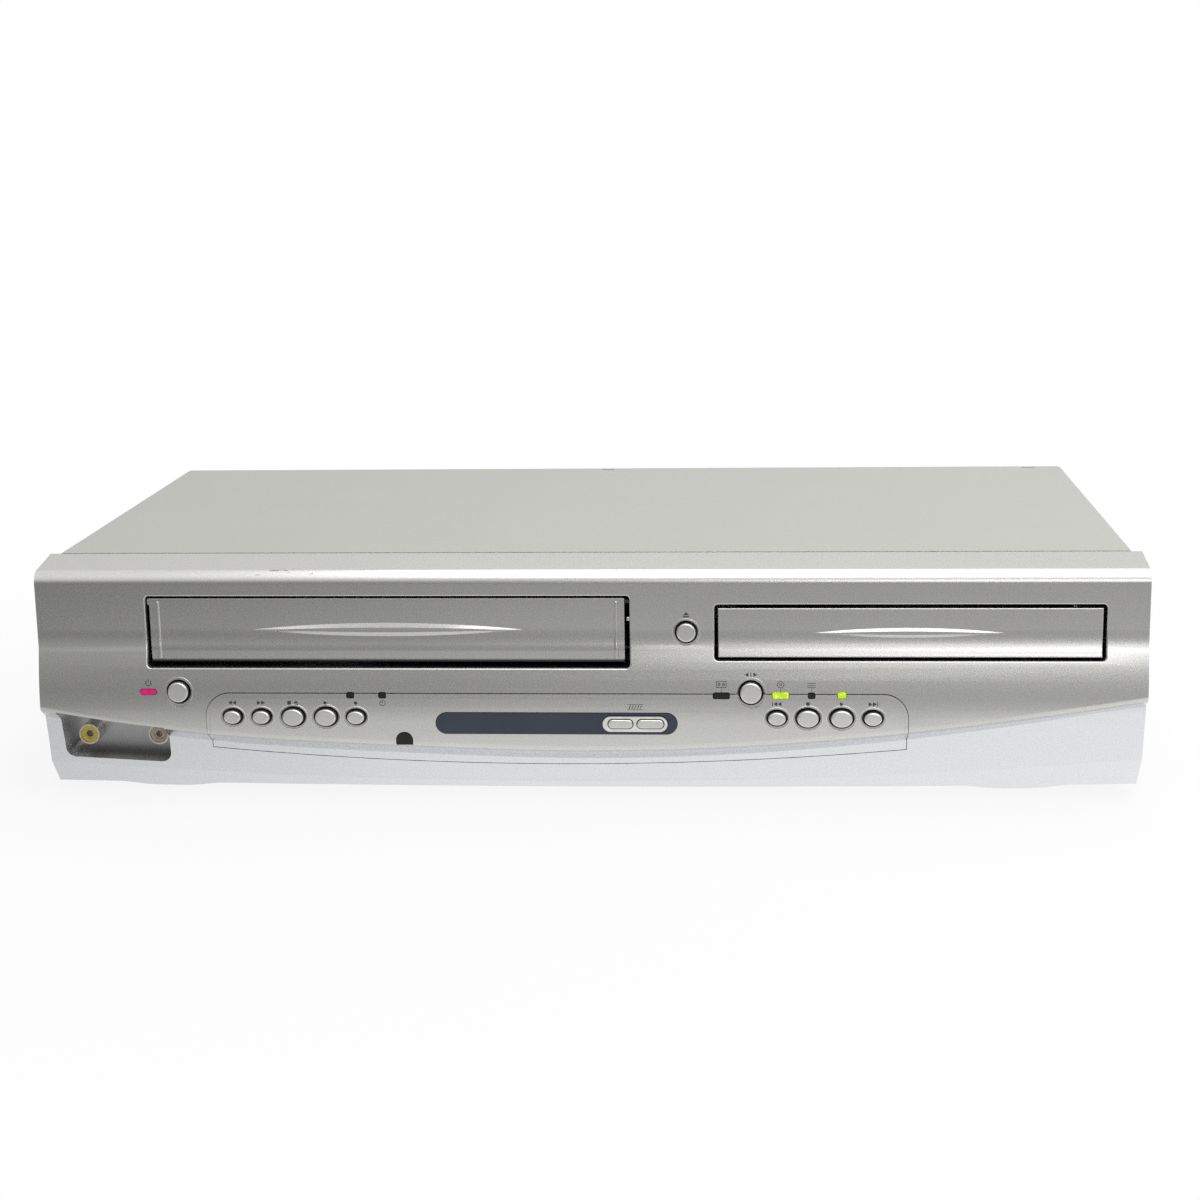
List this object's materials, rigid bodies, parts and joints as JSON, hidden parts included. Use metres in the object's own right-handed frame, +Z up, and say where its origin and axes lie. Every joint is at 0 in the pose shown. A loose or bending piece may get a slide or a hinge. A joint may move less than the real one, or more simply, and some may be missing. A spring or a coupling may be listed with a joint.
{
  "type": "dvd vcr combo player",
  "caption": "Slim silver tabletop player with a cassette slot and flap on the left and a motor-driven disc tray on the right.",
  "frame": {"origin": "centre of the bounding box's base, on the surface that the player stands on", "axes": "+X to the right as seen from the front, +Y towards the rear, +Z up; the front faces -Y"},
  "size_m": [0.435, 0.2432, 0.097],
  "materials": {
    "bezel_silver": "metallic silver paint on moulded plastic",
    "panel_silver": "metallic silver paint on moulded plastic",
    "flap_silver": "metallic silver paint",
    "button_silver": "pale silver plastic caps",
    "navy": "dark navy stripe",
    "bright_trim": "bright plated frame",
    "dark_window": "smoked window",
    "green_lens": "green light pipe",
    "pink_lens": "pink light pipe",
    "spring_steel": "spring wire",
    "jack_yellow": "plated socket with yellow insulator",
    "jack_beige": "plated socket with beige insulator",
    "circuit_board": "laminate with components",
    "cover_grey": "warm light grey paint, fine texture",
    "zinc_steel": "zinc-plated sheet",
    "rear_black": "grey paint on sheet",
    "rubber_foot": "rubber",
    "screw_steel": "zinc-plated screws",
    "socket_metal": "plated shells",
    "gland_black": "black nylon",
    "tray_grey": "dark grey moulded tray",
    "frame_black": "black moulding",
    "gear_white": "white acetal",
    "motor_steel": "motor can",
    "turntable_rubber": "black turntable",
    "drum_aluminium": "polished drum",
    "roller_rubber": "rubber roller"
  },
  "bodies": {
    "player": {"front_bezel": "bezel_silver", "control_panel": "panel_silver", "stripe_plate": "navy", "tracking_key_frame": "bright_trim", "indicator_windows": "dark_window", "green_status_lenses": "green_lens", "power_lens": "pink_lens", "remote_window": "dark_window", "flap_spring": "spring_steel", "front_video_jack": "jack_yellow", "front_audio_jack": "jack_beige", "front_board": "circuit_board", "top_cover": "cover_grey", "base_pan": "zinc_steel", "rear_panel": "rear_black", "feet": "rubber_foot", "cover_screws": "screw_steel", "rear_sockets": "socket_metal", "tuner_box": "zinc_steel", "cord_gland": "gland_black", "loader_frame": "frame_black", "tray_motor": "motor_steel", "clamp_bridge": "zinc_steel", "deck_plate": "zinc_steel", "side_brackets": "zinc_steel", "lower_drum": "drum_aluminium", "capstan_motor": "motor_steel", "tape_guides": "socket_metal", "main_board": "circuit_board", "power_supply": "circuit_board"},
    "power_button": {"power_button": "button_silver"},
    "output_button": {"output_button": "button_silver"},
    "open_close_button": {"open_close_button": "button_silver"},
    "rewind_button": {"rewind_button": "button_silver"},
    "fast_forward_button": {"fast_forward_button": "button_silver"},
    "stop_eject_button": {"stop_eject_button": "button_silver"},
    "play_button": {"play_button": "button_silver"},
    "record_button": {"record_button": "button_silver"},
    "skip_back_button": {"skip_back_button": "button_silver"},
    "dvd_stop_button": {"dvd_stop_button": "button_silver"},
    "dvd_play_button": {"dvd_play_button": "button_silver"},
    "skip_forward_button": {"skip_forward_button": "button_silver"},
    "tracking_down_key": {"tracking_down_key": "button_silver"},
    "tracking_up_key": {"tracking_up_key": "button_silver"},
    "flap": {"vcr_flap": "flap_silver"},
    "tray": {"disc_tray": "tray_grey", "tray_door": "flap_silver"},
    "tray_gear": {"tray_gear": "gear_white"},
    "traverse": {"traverse_plate": "frame_black", "spindle_motor": "motor_steel"},
    "turntable": {"turntable": "turntable_rubber"},
    "pickup": {"optical_pickup": "frame_black"},
    "clamper": {"disc_clamper": "gear_white"},
    "carriage": {"carriage_plates": "gear_white"},
    "basket": {"cassette_basket": "zinc_steel"},
    "upper_drum": {"upper_drum": "drum_aluminium"},
    "capstan": {"capstan_flywheel": "motor_steel"},
    "pinch_roller": {"pinch_roller": "roller_rubber"},
    "supply_reel": {"supply_reel": "frame_black"},
    "take_up_reel": {"take_up_reel": "frame_black"}
  },
  "joints": [
    {"name": "power_button_press", "type": "slide", "parent": "player", "child": "power_button", "axis": [0, 1, 0], "range_m": [0, 0.0009], "stiffness_N_per_m": 400},
    {"name": "output_button_press", "type": "slide", "parent": "player", "child": "output_button", "axis": [0, 1, 0], "range_m": [0, 0.0009], "stiffness_N_per_m": 400},
    {"name": "open_close_button_press", "type": "slide", "parent": "player", "child": "open_close_button", "axis": [0, 1, 0], "range_m": [0, 0.0009], "stiffness_N_per_m": 400},
    {"name": "rewind_button_press", "type": "slide", "parent": "player", "child": "rewind_button", "axis": [0, 1, 0], "range_m": [0, 0.0009], "stiffness_N_per_m": 400},
    {"name": "fast_forward_button_press", "type": "slide", "parent": "player", "child": "fast_forward_button", "axis": [0, 1, 0], "range_m": [0, 0.0009], "stiffness_N_per_m": 400},
    {"name": "stop_eject_button_press", "type": "slide", "parent": "player", "child": "stop_eject_button", "axis": [0, 1, 0], "range_m": [0, 0.0009], "stiffness_N_per_m": 400},
    {"name": "play_button_press", "type": "slide", "parent": "player", "child": "play_button", "axis": [0, 1, 0], "range_m": [0, 0.0009], "stiffness_N_per_m": 400},
    {"name": "record_button_press", "type": "slide", "parent": "player", "child": "record_button", "axis": [0, 1, 0], "range_m": [0, 0.0009], "stiffness_N_per_m": 400},
    {"name": "skip_back_button_press", "type": "slide", "parent": "player", "child": "skip_back_button", "axis": [0, 1, 0], "range_m": [0, 0.0009], "stiffness_N_per_m": 400},
    {"name": "dvd_stop_button_press", "type": "slide", "parent": "player", "child": "dvd_stop_button", "axis": [0, 1, 0], "range_m": [0, 0.0009], "stiffness_N_per_m": 400},
    {"name": "dvd_play_button_press", "type": "slide", "parent": "player", "child": "dvd_play_button", "axis": [0, 1, 0], "range_m": [0, 0.0009], "stiffness_N_per_m": 400},
    {"name": "skip_forward_button_press", "type": "slide", "parent": "player", "child": "skip_forward_button", "axis": [0, 1, 0], "range_m": [0, 0.0009], "stiffness_N_per_m": 400},
    {"name": "tracking_down_key_press", "type": "slide", "parent": "player", "child": "tracking_down_key", "axis": [0, 1, 0], "range_m": [0, 0.0009], "stiffness_N_per_m": 400},
    {"name": "tracking_up_key_press", "type": "slide", "parent": "player", "child": "tracking_up_key", "axis": [0, 1, 0], "range_m": [0, 0.0009], "stiffness_N_per_m": 400},
    {"name": "flap_swing", "type": "hinge", "parent": "player", "child": "flap", "pos_m": [-0.07775, -0.11207, 0.0814], "axis": [1, 0, 0], "range_deg": [0, 80], "stiffness_Nm_per_rad": 0.002, "springref_deg": -20.05},
    {"name": "tray_slide", "type": "slide", "parent": "player", "child": "tray", "axis": [0, -1, 0], "range_m": [0, 0.134]},
    {"name": "tray_gear_spin", "type": "hinge", "parent": "player", "child": "tray_gear", "pos_m": [0.1728, -0.09467, 0.06], "axis": [0, 0, 1], "range_deg": [-860, 0]},
    {"name": "traverse_lift", "type": "slide", "parent": "player", "child": "traverse", "axis": [0, 0, 1], "range_m": [0, 0.0055]},
    {"name": "turntable_spin", "type": "hinge", "parent": "traverse", "child": "turntable", "pos_m": [0.12615, -0.04517, 0.058], "axis": [0, 0, 1], "continuous": true},
    {"name": "pickup_slide", "type": "slide", "parent": "traverse", "child": "pickup", "axis": [0, 1, 0], "range_m": [0, 0.034]},
    {"name": "clamper_spin", "type": "hinge", "parent": "player", "child": "clamper", "pos_m": [0.12615, -0.04517, 0.072], "axis": [0, 0, 1], "continuous": true},
    {"name": "carriage_slide", "type": "slide", "parent": "player", "child": "carriage", "axis": [0, 1, 0], "range_m": [0, 0.036]},
    {"name": "basket_drop", "type": "slide", "parent": "carriage", "child": "basket", "axis": [0, 0, -1], "range_m": [0, 0.022]},
    {"name": "drum_spin", "type": "hinge", "parent": "player", "child": "upper_drum", "pos_m": [-0.07775, 0.06882, 0.053], "axis": [0, 0, 1], "continuous": true},
    {"name": "capstan_spin", "type": "hinge", "parent": "player", "child": "capstan", "pos_m": [-0.03375, 0.04083, 0.04], "axis": [0, 0, 1], "continuous": true},
    {"name": "pinch_spin", "type": "hinge", "parent": "player", "child": "pinch_roller", "pos_m": [-0.02525, 0.04083, 0.042], "axis": [0, 0, 1], "continuous": true},
    {"name": "supply_spin", "type": "hinge", "parent": "player", "child": "supply_reel", "pos_m": [-0.12375, -0.00317, 0.036], "axis": [0, 0, 1], "continuous": true},
    {"name": "take_up_spin", "type": "hinge", "parent": "player", "child": "take_up_reel", "pos_m": [-0.03175, -0.00317, 0.036], "axis": [0, 0, 1], "continuous": true}
  ],
  "couplings": [
    {"joint": "tray_gear_spin", "follows": "tray_slide", "rad_per_m": -111.11},
    {"joint": "clamper_spin", "follows": "turntable_spin", "ratio": 1}
  ]
}
